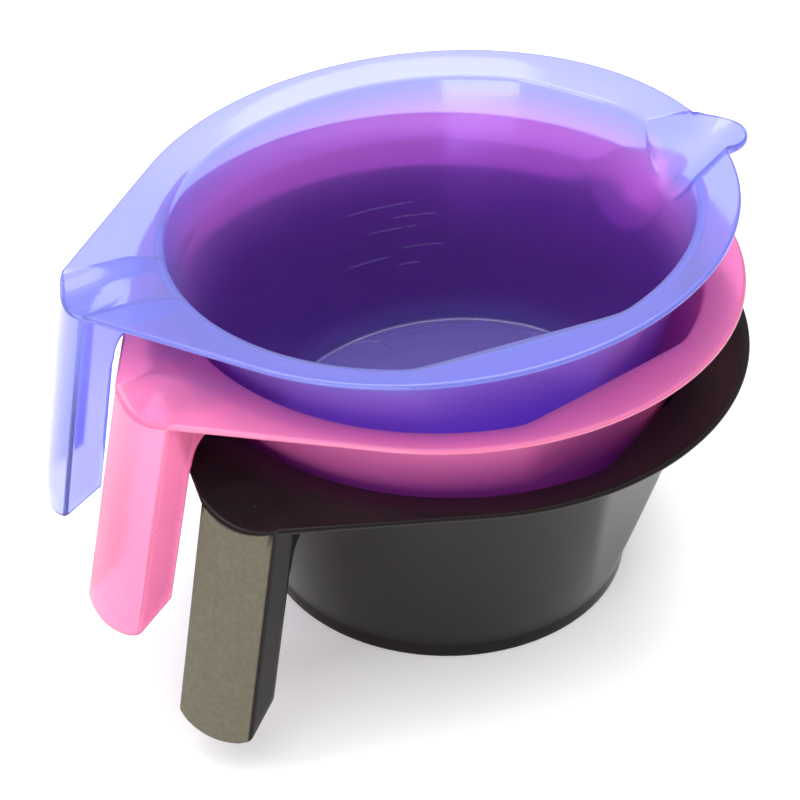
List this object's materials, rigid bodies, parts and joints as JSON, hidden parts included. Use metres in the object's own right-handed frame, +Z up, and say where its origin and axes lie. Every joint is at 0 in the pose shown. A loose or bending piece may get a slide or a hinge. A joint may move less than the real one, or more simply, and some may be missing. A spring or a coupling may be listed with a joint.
{
  "type": "hair color bowl",
  "caption": "Nest of tapered salon tint bowls, each with a wide flange, a pouring spout, a flat wiping side and a splayed, hollow-backed handle; they lift apart.",
  "frame": {"origin": "centre of the bottom bowl's flat underside", "axes": "+Z up along the bottom bowl's axis; -Y towards the viewer who has the handles at the left and the spouts at the right"},
  "size_m": [0.154, 0.1475, 0.0975],
  "materials": {
    "black_plastic": "moulded, semi-gloss opaque black",
    "pink_plastic": "moulded, glossy slightly translucent pink",
    "blue_plastic": "moulded, glossy translucent violet-blue"
  },
  "bodies": {
    "bottom_bowl": {"bottom_bowl": "black_plastic"},
    "middle_bowl": {"middle_bowl": "pink_plastic"},
    "top_bowl": {"top_bowl": "blue_plastic"}
  },
  "joints": [
    {"name": "middle_lift", "type": "slide", "parent": "bottom_bowl", "child": "middle_bowl", "axis": [0, 0, 1], "range_m": [0, 0.07]},
    {"name": "top_lift", "type": "slide", "parent": "middle_bowl", "child": "top_bowl", "axis": [0, 0, 1], "range_m": [0, 0.07]}
  ]
}
